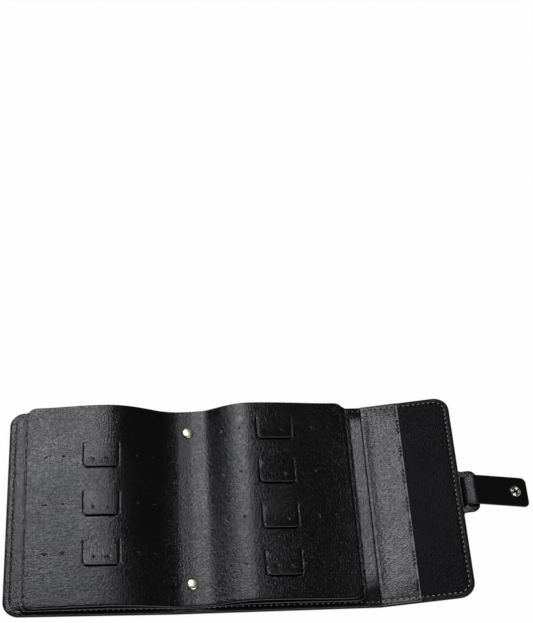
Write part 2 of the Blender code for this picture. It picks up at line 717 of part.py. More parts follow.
def with_bends(outline, y, places):
    """The outline with points added on its straight edge at y, where the sheet bends."""
    points = []
    for start, end in zip(outline, outline[1:] + outline[:1]):
        points.append(start)
        if max(abs(start[1] - y), abs(end[1] - y)) < WELD_DISTANCE:
            between = [x for x in set(places) if min(start[0], end[0]) < x < max(start[0], end[0])]
            points += [(x, y) for x in sorted(between, reverse=start[0] > end[0])]
    return points


def make_leaf_centre(name, low, near_inset):
    """The middle of a leaf, clamped to the spine by the screws."""
    near = -BOOK_HEIGHT / 2 + near_inset
    outline = panel_outline((-SPINE_LEFT + 2 * SEAT_GAP, near), (SPINE_RIGHT - 2 * SEAT_GAP, FAR_EDGE))
    made = piece(name, slab(outline, low, low + LEAF), "leaf_leather")
    for cutter in screw_holes(name, low - CUT_OVERRUN, low + LEAF + CUT_OVERRUN):
        cut(made, cutter)


def make_leaves(front, upper_fold, lower_fold):
    """Two leaves, each a left page, a clamped middle and a right page."""
    upper = UPPER_LEAF_LOW + LEAF / 2 - FOLD_LEVEL
    lower = LOWER_LEAF_LOW + LEAF / 2 - FOLD_LEVEL
    make_leaf_centre("lower_leaf_middle", LOWER_LEAF_LOW, LOWER_NEAR_INSET)
    make_leaf_centre("upper_leaf_middle", UPPER_LEAF_LOW, UPPER_NEAR_INSET)
    share = LOWER_WAVE_SHARE
    make_page("lower_left_page", -1, LOWER_REACH, LOWER_NEAR_INSET, share, front, lower)
    make_page("upper_left_page", -1, UPPER_REACH, UPPER_NEAR_INSET, 1, front, upper)
    make_page("lower_right_page", 1, LOWER_REACH, LOWER_NEAR_INSET, share, lower_fold, 0)
    make_page("upper_right_page", 1, UPPER_REACH, UPPER_NEAR_INSET, 1, upper_fold, 0)


def main():
    """Clears the scene and builds the open book."""
    for obj in list(bpy.data.objects):
        bpy.data.objects.remove(obj, do_unlink=True)
    front = pivot("front_fold", (-SPINE_LEFT, 0, FOLD_LEVEL), turn=COVER_TILT)
    gusset = pivot("crease_fold", (BACK_REACH, 0, FOLD_LEVEL), turn=-FLAP_TILT)
    flap = pivot("flap_fold", (GUSSET_WIDTH, 0, 0), gusset)
    strap_level = STRAP_LEVEL + BELT_THICKNESS / 2 - FOLD_LEVEL
    strap_place = (STRAP_FOLD_AT - GUSSET_WIDTH, 0, strap_level)
    strap = pivot("strap_fold", strap_place, flap, STRAP_DROOP)
    upper_fold = pivot("upper_page_fold", (SPINE_RIGHT, 0, UPPER_LEAF_LOW + LEAF / 2))
    lower_fold = pivot("lower_page_fold", (SPINE_RIGHT, 0, LOWER_LEAF_LOW + LEAF / 2))
    make_back_cover()
    make_spine()
    make_front_cover(front)
    make_gusset(gusset)
    make_flap(flap)
    make_belt(front, gusset, flap, strap)
    make_stud(front)
    make_binding()
    make_leaves(front, upper_fold, lower_fold)


main()
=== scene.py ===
import math

import bmesh
import bpy
import numpy as np
from mathutils import Matrix, Vector
from mathutils.geometry import delaunay_2d_cdt


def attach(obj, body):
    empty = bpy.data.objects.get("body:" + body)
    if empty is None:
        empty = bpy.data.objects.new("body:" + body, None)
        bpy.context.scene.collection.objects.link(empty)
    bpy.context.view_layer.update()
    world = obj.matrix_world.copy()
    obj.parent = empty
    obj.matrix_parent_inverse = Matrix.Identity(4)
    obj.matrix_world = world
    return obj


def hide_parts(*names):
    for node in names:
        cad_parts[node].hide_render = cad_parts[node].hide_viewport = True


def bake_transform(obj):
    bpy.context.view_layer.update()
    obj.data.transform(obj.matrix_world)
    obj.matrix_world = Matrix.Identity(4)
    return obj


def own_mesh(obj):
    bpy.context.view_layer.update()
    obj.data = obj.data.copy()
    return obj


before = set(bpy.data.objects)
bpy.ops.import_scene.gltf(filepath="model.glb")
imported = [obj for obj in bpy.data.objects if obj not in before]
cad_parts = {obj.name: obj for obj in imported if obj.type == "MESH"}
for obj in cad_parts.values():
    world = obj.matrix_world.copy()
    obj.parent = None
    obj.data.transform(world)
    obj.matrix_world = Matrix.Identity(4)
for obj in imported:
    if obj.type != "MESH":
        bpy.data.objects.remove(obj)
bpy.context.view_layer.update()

# Sizes of the book, in metres, as in the CAD model
BOOK_HALF = 0.100
FRONT_EDGE = -0.1595
FRONT_FOLD = -0.0161
SPINE_FOLD = 0.0129
CREASE = 0.1575
FLAP_FOLD = CREASE + 0.036
FLAP_EDGE = FLAP_FOLD + 0.046
TONGUE_END = FLAP_EDGE + 0.0148
TONGUE_HALF = 0.0205
CORNER = 0.014
FOLD_LEVEL = 0.0040
STUD_FROM_FOLD, STUD_TAIL, BELT_SHORT = 0.04915, 0.010, 0.003
# The front cover is lifted until the stud under it just touches the table
FRONT_TILT = math.asin(0.00172 / STUD_FROM_FOLD)
FLAP_TILT = math.radians(11)
LEATHER_LOW, LEATHER_TOP = 0.0017, 0.0029
LINING_LOW, LINING_TOP = 0.0032, 0.0040
LINING_INSET = 0.0006
BORDER, BORDER_RAMP, BOARD_RISE = 0.0043, 0.0036, 0.0015
GENTLE_TO, GENTLE_RISE, GENTLE_RUN, LINING_LEAST = 0.0088, 0.00085, 0.007, 0.0003
CREASE_DIP, DIP_PAST, DIP_WIDTH = 0.0005, 0.0004, 0.0009
SWELL_FROM, SWELL_TOP, SWELL_END, SWELL_RISE = 0.1462, 0.1582, 0.1591, 0.0025
POCKET_EDGE, POCKET_DIP, POCKET_STAND, POCKET_PRESSED = FLAP_FOLD - 0.0006, -0.09, 0.045, 0.6
POCKET_TOP, POCKET_FREE_TO, POCKET_SEWN_OVER = 0.0009, 0.080, 0.014
BELT_HALF, BELT_THICKNESS, BELT_CORNER, BELT_GRID = 0.0145, 0.0014, 0.005, 0.0012
SLOT_FROM, SLOT_TO, SLOT_HALF = FLAP_EDGE + 0.0009, FLAP_EDGE + 0.0043, 0.0146
STRAP_FOLD = TONGUE_END + 0.00045
STRAP_END = STRAP_FOLD + 0.0460
STRAP_DROOP = math.radians(22)
SNAP_FROM_END, HEAD_HEIGHT, METAL_GAP = 0.0118, 0.0016, 0.0003
CAP_RADIUS, CAP_RIM, CAP_CROWN, CAP_STEPS = 0.0060, 0.0004, 0.0016, 14

# Leaves
LEAF = 0.0010
LOWER_LEAF, UPPER_LEAF = 0.0043, 0.0056
UPPER_REACH, LOWER_REACH = 0.1445, 0.1472
UPPER_NEAR, LOWER_NEAR = -0.0955, -0.0962
FAR_EDGE = 0.098
LIFT_PAST_FOLD, WAVE_ROUNDING, LOWER_WAVE = 0.0075, 0.1, 0.5
EDGE_CURL, CURL_WIDTH = 0.0004, 0.0032
LEFT_PAGE_SLEW, SLEW_LENGTH = math.radians(0.7), 0.040
# By side, -1 for the left: the fold, and the radius of the outer corners
PAGE_FOLD = {-1: FRONT_FOLD, 1: SPINE_FOLD}
PAGE_CORNER = {-1: 0.0080, 1: 0.0088}
# The wave's crest, as place and height, its drop to the edge, its share at the near end, how far past the
# fold it starts, and where the lift on to the board starts
WAVE = {-1: (0.074, 0.0132, 0.0047, 0.43, 0.0035, 0.008), 1: (0.059, 0.0123, 0.0048, 0.64, 0.0008, 0.0)}
# Rows of holes and tabs: how many, how far apart, and where their middle lies
ROWS = {-1: (3, 0.047, 0.0), 1: (4, 0.0446, 0.005)}
HOLE_PAIRS_AT, PAIR_SPACING, HOLE_RADIUS = (0.040, 0.1195), 0.015, 0.0009
TAB_AT, TAB_HALF, TAB_HEIGHT, TAB_CORNER, TAB_SLIT = 0.079, 0.016, 0.025, 0.005, 0.0008
TAB_PAIR_SPACING, TAB_HOLE_DROP, TAB_LIFT = 0.012, 0.004, 0.0025
SCREW_HALF, SCREW_HOLE = 0.075, 0.0038
MARCH_STEPS = 24

# Grain and handling of the leather, per mm or in mm
DRIFT_PER_MM, DRIFT_MM, ISLAND_RIM, HANDLING_PER_MM = 0.35, 1.1, 0.36, 0.02

# Sewing
SEAM_INSET, STITCH_PITCH, STITCH_LENGTH = 0.0046, 0.0046, 0.0026
THREAD_RADIUS, HOLE_SIZE, UNEVENNESS = 0.00040, 0.0007, 0.25
SEAM_GROOVE, SEAM_GROOVE_HALF = 0.00022, 0.0011
# The first is the width of the pale band along the top of the pocket's hem, a painted highlight
HEM_PAINTED_HIGHLIGHT, HEM_INSET, HEM_STAND = 0.0008, 0.0020, 0.00125
HEM_PITCH, HEM_LENGTH, HEM_THREAD, HEM_HOLE = 0.0032, 0.0019, 0.00022, 0.0003

# How wide each fold bends at rest, and how far to each side when it closes
BEND_WIDTH, FOLD_REACH, FOLD_STEP, STRAP_BEND = 0.003, 0.006, 0.0015, 0.003
# Steps of the sheets' meshes, and where the stretches of the cover meet
COVER_GRID, LEAF_GRID, OUTLINE_STEP, CUT_STEP, LEAST_GAP = 0.004, 0.0027, 0.0035, 0.003, 0.0006
SPINE_JOIN, BACK_JOIN, GUSSET_JOIN = -0.0016, 0.085, 0.1755

# The camera as fitted to the photograph: azimuth, elevation and roll in degrees
CAMERA_PLACE, CAMERA_ANGLES, CAMERA_LENS = (-0.0297, -0.6613, 1.1983), (7.13, 53.62, 4.64), 89.17
FLOOR_LEVEL, FLOOR_WHITE, AMBIENT = -0.0002, 0.98, 0.06


def colour(text):
    """An sRGB hex value as the linear colour that a shader takes."""
    values = [int(text[i:i + 2], 16) / 255 for i in (1, 3, 5)]
    linear = [v / 12.92 if v <= 0.04045 else ((v + 0.055) / 1.055) ** 2.4 for v in values]
    return (*linear, 1.0)


def node(tree, kind, settings=None, *sources, **links):
    """Adds a node with its settings. Sources feed its sockets in their order, links feed them by name."""
    made = tree.nodes.new(kind)
    for name, value in (settings or {}).items():
        if name in made.inputs:
            made.inputs[name].default_value = value
        else:
            setattr(made, name, value)
    for socket, source in zip(made.inputs, sources):
        if isinstance(source, float):
            socket.default_value = source
        else:
            join(tree, source, socket)
    feed(tree, made, **links)
    return made


def feed(tree, made, **links):
    """Links each source to the node's socket of that name."""
    for name, source in links.items():
        join(tree, source, made.inputs[name.replace("_", " ")])


def join(tree, source, socket):
    """Links an output, or the first one of a node, to a socket."""
    tree.links.new(source if isinstance(source, bpy.types.NodeSocket) else source.outputs[0], socket)


def new_material(name, roughness, metallic=0.0, specular=0.5):
    """A named material with its shader, ready for its pattern."""
    made = bpy.data.materials.new(name)
    made.use_nodes = True
    shader = made.node_tree.nodes["Principled BSDF"]
    for socket, value in (("Roughness", roughness), ("Metallic", metallic), ("IOR", 1.5),
                          ("Specular IOR Level", specular)):
        shader.inputs[socket].default_value = value
    return made, made.node_tree, shader


def two_tones(tree, source, low, high, places):
    """A colour ramp from one hex colour to another."""
    ramp = node(tree, "ShaderNodeValToRGB", Fac=source)
    for stop, text, place in zip(ramp.color_ramp.elements, (low, high), places):
        stop.color, stop.position = colour(text), place
    return ramp


def millimetres(tree, cut=False):
    """Places on the piece in millimetres: on its flat cut pattern, where the grain stays on the leather,
    or in the book's own frame."""
    place = (node(tree, "ShaderNodeUVMap", {"uv_map": "cut"}) if cut
             else node(tree, "ShaderNodeTexCoord").outputs["Object"])
    return node(tree, "ShaderNodeVectorMath", {"operation": "SCALE", "Scale": 1000.0}, place)


def pebbled_pu(name, peak, painted_crease_shade, roughness, grain_mm, depth_mm, specular, stretch=1.0):
    """Polyurethane leather, embossed with a pebble grain by a roller, which breaks the sheen into specks.
    The real grain of about 0.8 mm is drawn two to three times as coarse, so that it shows.
    stretch above 1 draws the islands out across the book, as on the crinkled pocket panel."""
    made, tree, shader = new_material(name, roughness, specular=specular)
    place = millimetres(tree, cut=True)
    squeezed = node(tree, "ShaderNodeMapping", {"Scale": (1.0 / stretch, 1.0, 1.0)}, place)
    # The roller's pattern wanders a little, so the islands aren't a lattice
    drift = node(tree, "ShaderNodeTexNoise", {"Scale": DRIFT_PER_MM, "Detail": 2.0}, squeezed)
    pull = node(tree, "ShaderNodeVectorMath", {"operation": "SCALE", "Scale": DRIFT_MM},
                drift.outputs["Color"])
    wander = node(tree, "ShaderNodeVectorMath", {"operation": "ADD"}, squeezed, pull)
    # Flat islands with narrow creases between them: the islands keep the sheen, the creases break it
    islands = node(tree, "ShaderNodeTexVoronoi",
                   {"feature": "DISTANCE_TO_EDGE", "Scale": 1.0 / grain_mm, "Randomness": 0.9},
                   wander)
    raised = node(tree, "ShaderNodeMapRange", {"interpolation_type": "SMOOTHSTEP", "From Max": ISLAND_RIM},
                  islands)
    fine = node(tree, "ShaderNodeTexNoise", {"Scale": 1.1 / grain_mm, "Detail": 3.0, "Roughness": 0.6},
                squeezed)
    height = node(tree, "ShaderNodeMath", {"operation": "ADD"}, fine, raised)
    # Handling polishes some places and dulls others
    handled = node(tree, "ShaderNodeTexNoise", {"Scale": HANDLING_PER_MM, "Detail": 3.0}, place)
    gloss = node(tree, "ShaderNodeMapRange",
                 {"From Min": 0.3, "From Max": 0.7, "To Min": roughness - 0.03, "To Max": roughness + 0.05},
                 handled)
    # The creases between the islands get the darker base colour: painted shade in the creases
    feed(tree, shader, Base_Color=two_tones(tree, raised, painted_crease_shade, peak, (0.1, 0.9)),
         Roughness=gloss, Normal=relief(tree, height, depth_mm))
    return made


def relief(tree, height, depth_mm):
    """A bump of a real depth."""
    return node(tree, "ShaderNodeBump", {"Distance": depth_mm / 1000.0}, Height=height)


def mottled(name, roughness, specular, dark, light, speck_mm, depth_mm=0.0, metallic=0.0):
    """A finish whose colour wanders between two tones over specks of a real size, with their relief."""
    made, tree, shader = new_material(name, roughness, metallic, specular)
    specks = node(tree, "ShaderNodeTexNoise", {"Scale": 1.0 / speck_mm, "Detail": 4.0}, millimetres(tree))
    gloss = node(tree, "ShaderNodeMapRange", {"To Min": roughness - 0.05, "To Max": roughness + 0.08},
                 specks)
    feed(tree, shader, Base_Color=two_tones(tree, specks, dark, light, (0.3, 0.7)), Roughness=gloss)
    if depth_mm:
        feed(tree, shader, Normal=relief(tree, specks, depth_mm))
    return made


# Objects


def placed(name, data):
    """An object of that data, in the scene."""
    obj = bpy.data.objects.new(name, data)
    bpy.context.collection.objects.link(obj)
    return obj


def solid_object(name, bm):
    """An object of what the bmesh holds."""
    mesh = bpy.data.meshes.new(name)
    bm.to_mesh(mesh)
    bm.free()
    return placed(name, mesh)


def mesh_from_modifiers(obj):
    """What the object's modifiers make, as a mesh of its own."""
    return bpy.data.meshes.new_from_object(obj.evaluated_get(bpy.context.evaluated_depsgraph_get()))


# Places on the bent cover


def eased(share):
    """A smooth step from 0 to 1, level at both ends."""
    share = np.clip(share, 0.0, 1.0)
    return share * share * (3 - 2 * share)


def turned_about(x, z, fold_x, angle):
    """Points turned about a fold line along Y: a positive angle lifts the +X side."""
    dx, dz = x - fold_x, z - FOLD_LEVEL
    return (fold_x + dx * np.cos(angle) - dz * np.sin(angle),
            FOLD_LEVEL + dx * np.sin(angle) + dz * np.cos(angle))


def front_tilted(x, z):
    """Points left of the front fold, set into the open front cover's tilt."""
    share = eased((FRONT_FOLD + BEND_WIDTH / 2 - x) / BEND_WIDTH)
    return turned_about(x, z, FRONT_FOLD, -FRONT_TILT * share)


def on_cover(flat):
    """Flat cover coordinates, (along, across, height), set into the open book's tilts."""
    x, y, z = flat.T
    x1, z1 = front_tilted(x, z)
    x2, z2 = turned_about(x, z, CREASE, FLAP_TILT * eased((x - CREASE + BEND_WIDTH / 2) / BEND_WIDTH))
    return np.stack([np.where(x > 0, x2, x1), y, np.where(x > 0, z2, z1)], 1)


def in_world(points):
    """Flat (along, height) points set into the cover's tilts, as (x, z)."""
    return on_cover(np.array([(x, 0.0, z) for x, z in points]))[:, [0, 2]]


# Flat sheets


def arc(centre, radius, start, end, steps=10):
    """Points on a circle from one angle to another, in degrees."""
    turns = np.radians(np.linspace(start, end, steps + 1))
    return [(centre[0] + radius * math.cos(a), centre[1] + radius * math.sin(a)) for a in turns]


def rounded(x0, x1, y0, y1, left=0.0, right=0.0):
    """A rectangle with its left and its right corners rounded."""
    points = []
    for x, y, radius, start in ((x0 + left, y1 - left, left, 90), (x0 + left, y0 + left, left, 180),
                                (x1 - right, y0 + right, right, 270), (x1 - right, y1 - right, right, 0)):
        points += arc((x, y), radius, start, start + 90) if radius else [(x, y)]
    return points


def spaced(loop, step):
    """The closed loop with its long sides divided, so that the sheet can bend along its edge."""
    points = []
    for a, b in zip(loop, loop[1:] + loop[:1]):
        count = max(1, math.ceil(math.dist(a, b) / step))
        points += [(a[0] + (b[0] - a[0]) * i / count, a[1] + (b[1] - a[1]) * i / count)
                   for i in range(count)]
    return points


def within(points, loop):
    """Which points lie in a closed loop."""
    x, y = points[:, 0], points[:, 1]
    found = np.zeros(len(points), bool)
    for (x0, y0), (x1, y1) in zip(loop, loop[1:] + loop[:1]):
        if y0 != y1:
            crosses = (y0 > y) != (y1 > y)
            found ^= crosses & (x < x0 + (x1 - x0) * (y - y0) / (y1 - y0))
    return found


def on_sheet(points, loops):
    """Which points lie in the first loop and in none of the others."""
    found = within(points, loops[0])
    for hole in loops[1:]:
        found &= ~within(points, hole)
    return found


def lines(low, high, step, places=(), fold=None):
    """Grid lines across a sheet, with closer ones at the given places and over a fold."""
    made = list(np.arange(low + step, high - step / 2, step))
    if fold is not None:
        made = [value for value in made if abs(value - fold) > FOLD_REACH + FOLD_STEP / 2]
        made += list(fold + np.arange(-FOLD_REACH, FOLD_REACH + FOLD_STEP / 2, FOLD_STEP))
    for place in places:
        made += [place - SEAM_GROOVE_HALF, place, place + SEAM_GROOVE_HALF]
    kept = []
    for value in sorted(v for v in made if low + 0.0004 < v < high - 0.0004):
        if not kept or value - kept[-1] > 0.0005:
            kept.append(value)
    return kept


def cut_sheet(name, outline, holes, columns, rows, low, high, joins=(), edge_radius=0.00025):
    """A flat sheet cut to its outline and holes, with thickness and softly rounded edges.
    joins gives the lines where a neighbouring stretch carries on, which get a plain end."""
    loops = [spaced(outline, OUTLINE_STEP)] + holes
    grid = np.array([(x, y) for x in columns for y in rows])
    points, edges = [], []
    for loop in loops:
        first = len(points)
        points += loop
        edges += [(first + i, first + (i + 1) % len(loop)) for i in range(len(loop))]
    border = np.array(points)
    clear = np.array([np.min(np.abs(border - g).sum(1)) > LEAST_GAP for g in grid])
    points += [tuple(p) for p in grid[on_sheet(grid, loops) & clear]]
    found = delaunay_2d_cdt([Vector(p) for p in points], edges, [], 0, 0.000003)
    flat = np.array([tuple(p) for p in found[0]])
    middles = np.array([flat[list(face)].mean(0) for face in found[2]])
    bm = bmesh.new()
    verts = [bm.verts.new((x, y, low)) for x, y in flat]
    for face, is_solid in zip(found[2], on_sheet(middles, loops)):
        if is_solid:
            bm.faces.new([verts[i] for i in face])
    bmesh.ops.delete(bm, geom=[v for v in bm.verts if not v.link_faces], context="VERTS")
    bmesh.ops.recalc_face_normals(bm, faces=bm.faces)
    if sum(face.normal.z for face in bm.faces) > 0:
        bmesh.ops.reverse_faces(bm, faces=bm.faces)
    grown = bmesh.ops.extrude_face_region(bm, geom=bm.faces[:])
    raised = [item for item in grown["geom"] if isinstance(item, bmesh.types.BMVert)]
    bmesh.ops.translate(bm, verts=raised, vec=(0, 0, high - low))
    walls = [f for f in bm.faces if abs(f.normal.z) < 0.5
             and any(all(abs(v.co.x - x) < 0.00001 for v in f.verts) for x in joins)]
    bmesh.ops.delete(bm, geom=walls, context="FACES_ONLY")
    bmesh.ops.recalc_face_normals(bm, faces=bm.faces)
    obj = solid_object(name, bm)
    bevel = obj.modifiers.new("edge", "BEVEL")
    bevel.width = edge_radius
    bevel.segments = 2
    bevel.limit_method = "ANGLE"
    bevel.angle_limit = math.radians(60)
    mesh = mesh_from_modifiers(obj)
    obj.modifiers.clear()
    obj.data = mesh
    if joins:
        bm = bmesh.new()
        bm.from_mesh(obj.data)
        bmesh.ops.holes_fill(bm, edges=[e for e in bm.edges if e.is_boundary])
        bm.to_mesh(obj.data)
        bm.free()
    return obj


def shape(obj, form, face, edge):
    """Gives the sheet its cut pattern and finishes while flat, then sets it into its form."""
    mesh = obj.data
    flat = np.empty(len(mesh.vertices) * 3)
    mesh.vertices.foreach_get("co", flat)
    flat = flat.reshape(-1, 3)
    corners = np.empty(len(mesh.loops), int)
    mesh.loops.foreach_get("vertex_index", corners)
    uv = mesh.uv_layers.new(name="cut")
    uv.data.foreach_set("uv", flat[corners][:, :2].astype(np.float32).ravel())
    mesh.materials.append(face)
    mesh.materials.append(edge)
    normals = np.empty(len(mesh.polygons) * 3)
    mesh.polygons.foreach_get("normal", normals)
    steep = np.abs(normals[2::3]) < 0.8
    mesh.polygons.foreach_set("material_index", steep.astype(int))
    mesh.vertices.foreach_set("co", form(flat).ravel())
    mesh.update()
    mesh.shade_smooth()
    mesh.set_sharp_from_angle(angle=math.radians(50))


def inner_distance(flat, x0, x1, half):
    """How far inside a rectangle each point lies."""
    return np.minimum(np.minimum(flat[:, 0] - x0, x1 - flat[:, 0]), half - np.abs(flat[:, 1]))


def seam_dip(flat):
    """How deep the thread pulls the leather in, along the seam round the cover."""
    edge = inner_distance(flat, FRONT_EDGE, FLAP_EDGE, BOOK_HALF)
    for x, side in ((FRONT_EDGE + CORNER, -1), (FLAP_EDGE - CORNER, 1)):
        past = (flat[:, 0] - x) * side
        over = np.abs(flat[:, 1]) - (BOOK_HALF - CORNER)
        rounding = (past > 0) & (over > 0)
        edge = np.where(rounding, CORNER - np.hypot(past, over), edge)
    return SEAM_GROOVE * (1 - eased(np.abs(edge - SEAM_INSET) / SEAM_GROOVE_HALF))


def blend_fold(obj, first, second, fold, level=FOLD_LEVEL, reach=FOLD_REACH):
    """Bakes the piece's world placement into its mesh."""
    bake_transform(obj)


STRETCHES = [
    ("front", FRONT_EDGE, SPINE_JOIN, FRONT_FOLD, "front_cover", "spine"),
    ("back", SPINE_JOIN, BACK_JOIN, SPINE_FOLD, "spine", "back_cover"),
    ("crease", BACK_JOIN, GUSSET_JOIN, CREASE, "back_cover", "gusset"),
    ("flap", GUSSET_JOIN, FLAP_EDGE, FLAP_FOLD, "gusset", "flap"),
]
# The CAD nodes that each stretch stands for, in the outer leather, the lining and the belt
STANDS_FOR = {"front": (["front_cover_leather"], "front_lining", "front_belt"),
              "back": (["spine_leather"], "spine_lining", "spine_belt"),
              "crease": (["back_cover_leather"], "back_lining", "back_belt"),
              "flap": (["gusset_leather", "flap_leather"], "flap_lining", "gusset_belt")}


def stretch_outline(low, high, inset):
    """A stretch of the cover: its outer end has rounded corners, a join runs straight across."""
    half, corner = BOOK_HALF - inset, CORNER - inset
    x0, left = (low + inset, corner) if low == FRONT_EDGE else (low, 0.0)
    x1, right = (high - inset, corner) if high == FLAP_EDGE else (high, 0.0)
    return rounded(x0, x1, -half, half, left, right)


def joins_of(low, high):
    """Where a stretch of the cover joins its neighbours."""
    return [x for x in (low, high) if x not in (FRONT_EDGE, FLAP_EDGE)]


def flap_with_tongue(low):
    """The flap's outer leather with the tongue that stands out from its edge."""
    tip, fillet = 0.007, 0.002
    side = arc((FLAP_EDGE - CORNER, CORNER - BOOK_HALF), CORNER, 270, 360)
    side += arc((FLAP_EDGE + fillet, -TONGUE_HALF - fillet), fillet, 180, 90, 4)
    side += arc((TONGUE_END - tip, tip - TONGUE_HALF), tip, 270, 360)
    return [(low, BOOK_HALF), (low, -BOOK_HALF), *side, *((x, -y) for x, y in reversed(side))]


SEAM_COLUMNS = (FRONT_EDGE + SEAM_INSET, FLAP_EDGE - SEAM_INSET)
SEAM_ROWS = (BOOK_HALF - SEAM_INSET, SEAM_INSET - BOOK_HALF)
COVER_ROWS = lines(-BOOK_HALF, BOOK_HALF, COVER_GRID, SEAM_ROWS)
RAMP_ROWS = [side * (BOOK_HALF - LINING_INSET - step) for side in (-1, 1)
             for step in (BORDER, BORDER + BORDER_RAMP / 2, BORDER + BORDER_RAMP)]
# Columns where the lining starts and ends a rise: over the front board, and in the swell before the crease
RISE_COLUMNS = [FRONT_EDGE + LINING_INSET + BORDER, FRONT_EDGE + LINING_INSET + BORDER + BORDER_RAMP,
                SWELL_FROM, SWELL_TOP - 0.0005, SWELL_TOP, SWELL_TOP + 0.00045, SWELL_END,
                SWELL_END + 0.0006, SWELL_END + 0.0014]


def make_outer_leather(finish, paint):
    """The cover's outside, one sheet of leather made in four stretches that meet without a seam."""
    for name, low, high, fold, first, second in STRETCHES:
        outline, holes, end = stretch_outline(low, high, 0.0), [], high
        if name == "flap":
            outline, end = flap_with_tongue(low), TONGUE_END
            holes = [spaced(rounded(SLOT_FROM, SLOT_TO, -SLOT_HALF, SLOT_HALF), CUT_STEP)]
        columns = lines(low, end, COVER_GRID, SEAM_COLUMNS, fold)
        obj = cut_sheet(f"outer_leather_{name}", outline, holes, columns, COVER_ROWS, LEATHER_LOW,
                        LEATHER_TOP, joins_of(low, high))

        def form(flat):
            pulled = flat.copy()
            underside = flat[:, 2] < (LEATHER_LOW + LEATHER_TOP) / 2
            pulled[:, 2] += np.where(underside, seam_dip(flat), 0.0)
            return on_cover(pulled)

        shape(obj, form, finish, paint)
        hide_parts(*STANDS_FOR[name][0])
        blend_fold(obj, first, second, fold)


def lining_level(flat, underside=False):
    """The lining's rise over the two boards, gentler on its upper face than underneath, where it clears
    them. On the right it swells up to the crease, and drops into it."""
    x, y, half = flat[:, 0], flat[:, 1], BOOK_HALF - LINING_INSET
    front = inner_distance(flat, FRONT_EDGE + LINING_INSET, FRONT_FOLD, half)
    back = inner_distance(flat, SPINE_FOLD, FLAP_EDGE, half)
    inside = np.where(x < 0, front, back)
    over_board = BOARD_RISE * eased((inside - BORDER) / BORDER_RAMP)
    if not underside:
        gentle = GENTLE_RISE * np.clip(inside / GENTLE_TO, 0, 1)
        gentle += (BOARD_RISE - GENTLE_RISE) * eased((inside - GENTLE_TO) / GENTLE_RUN)
        from_fold = np.where(x < 0, FRONT_FOLD - x, x - SPINE_FOLD)
        over_board = np.where(from_fold > inside + 0.0001, gentle, over_board)
    into_crease = 1 - eased((x - SWELL_TOP) / (SWELL_END - SWELL_TOP))
    swell = np.clip((x - SWELL_FROM) / (SWELL_TOP - SWELL_FROM), 0, 1)
    ends = eased((half - y - 0.004) / 0.012) * eased((half + y - 0.006) / 0.022)
    rise = np.where(x < 0, over_board, (over_board + SWELL_RISE * swell * ends) * into_crease)
    crease = CREASE_DIP * np.exp(-((x - SWELL_END - DIP_PAST) / DIP_WIDTH) ** 2)
    return rise - crease - seam_dip(flat)


def make_lining(finish, dark, turned, paint):
    """The inside, one lining made in four stretches."""
    for name, low, high, fold, first, second in STRETCHES:
        columns = lines(low, high, COVER_GRID, SEAM_COLUMNS, fold)
        columns += [x for x in RISE_COLUMNS if low < x < high]
        obj = cut_sheet(f"lining_{name}", stretch_outline(low, high, LINING_INSET), [], sorted(columns),
                        sorted(COVER_ROWS + RAMP_ROWS), LINING_LOW, LINING_TOP, joins_of(low, high))

        def form(flat):
            lifted = flat.copy()
            above = LINING_TOP + lining_level(flat)
            below = np.minimum(LINING_LOW + lining_level(flat, underside=True), above - LINING_LEAST)
            share = (flat[:, 2] - LINING_LOW) / (LINING_TOP - LINING_LOW)
            lifted[:, 2] = below + (above - below) * share
            return on_cover(lifted)

        shape(obj, form, turned if name == "flap" else finish, paint)
        if name == "flap":
            cover_inside_seam(obj, dark)
        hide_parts(STANDS_FOR[name][1])
        blend_fold(obj, first, second, fold)


def cover_inside_seam(obj, finish):
    """Up to the seam the flap's inside is a smoother, duller leather. The turned edge lies outside it."""
    mesh = obj.data
    mesh.materials.append(finish)
    for face in mesh.polygons:
        corners = [mesh.uv_layers["cut"].uv[i].vector for i in face.loop_indices]
        middle = np.mean([tuple(corner) for corner in corners], axis=0)
        inside = inner_distance(middle[None], FRONT_EDGE, FLAP_EDGE, BOOK_HALF)[0]
        if face.material_index == 0 and inside > SEAM_INSET:
            face.material_index = 2


def make_pocket(finish, edge):
    """The pocket panel: pebbled leather over the gusset, open along its hem."""
    low = SWELL_END
    half = BOOK_HALF - LINING_INSET - 0.0003
    # It dips as it leaves the crease, and then stands off the lining up to its open hem
    shares = np.linspace(0, 1, 61)
    slopes = POCKET_DIP + (POCKET_STAND - POCKET_DIP) * eased(shares / 0.35)
    climbed = np.concatenate([[0], np.cumsum((slopes[1:] + slopes[:-1]) / 2)])
    lifts = 0.0004 + climbed * (POCKET_EDGE - low) / 60
    columns = [*lines(low, POCKET_EDGE - HEM_PAINTED_HIGHLIGHT - 0.0005, 0.003), POCKET_EDGE - HEM_PAINTED_HIGHLIGHT]
    rows = lines(-half, half, COVER_GRID, SEAM_ROWS)
    obj = cut_sheet("pocket_panel_dressed", rounded(low, POCKET_EDGE, -half, half), [], columns, rows,
                    LINING_TOP + 0.00015, LINING_TOP + POCKET_TOP)

    def form(flat):
        lifted = flat.copy()
        across = (flat[:, 0] - low) / (POCKET_EDGE - low)
        lifted[:, 2] += np.interp(across, shares, lifts) * pocket_free(flat[:, 1])
        lifted[:, 2] -= seam_dip(flat)
        return on_cover(lifted)

    shape(obj, form, finish, edge)
    # The narrow band of the top next to the hem takes the pale cut-edge finish: a painted highlight where
    # the hem catches the light
    for face in obj.data.polygons:
        corners = [obj.data.uv_layers["cut"].uv[i].vector.x for i in face.loop_indices]
        if min(corners) > POCKET_EDGE - HEM_PAINTED_HIGHLIGHT - 0.0001:
            face.material_index = 1
    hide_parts("pocket_panel")
    ride_gusset(obj)


def pocket_free(y):
    """How free the pocket's hem is to stand up: not at its sewn ends."""
    return 1 - eased((np.abs(y) - POCKET_FREE_TO) / POCKET_SEWN_OVER)


def ride_gusset(obj):
    """Pocket and stitches ride on the gusset."""
    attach(obj, "gusset")
    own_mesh(obj)


# Leaves


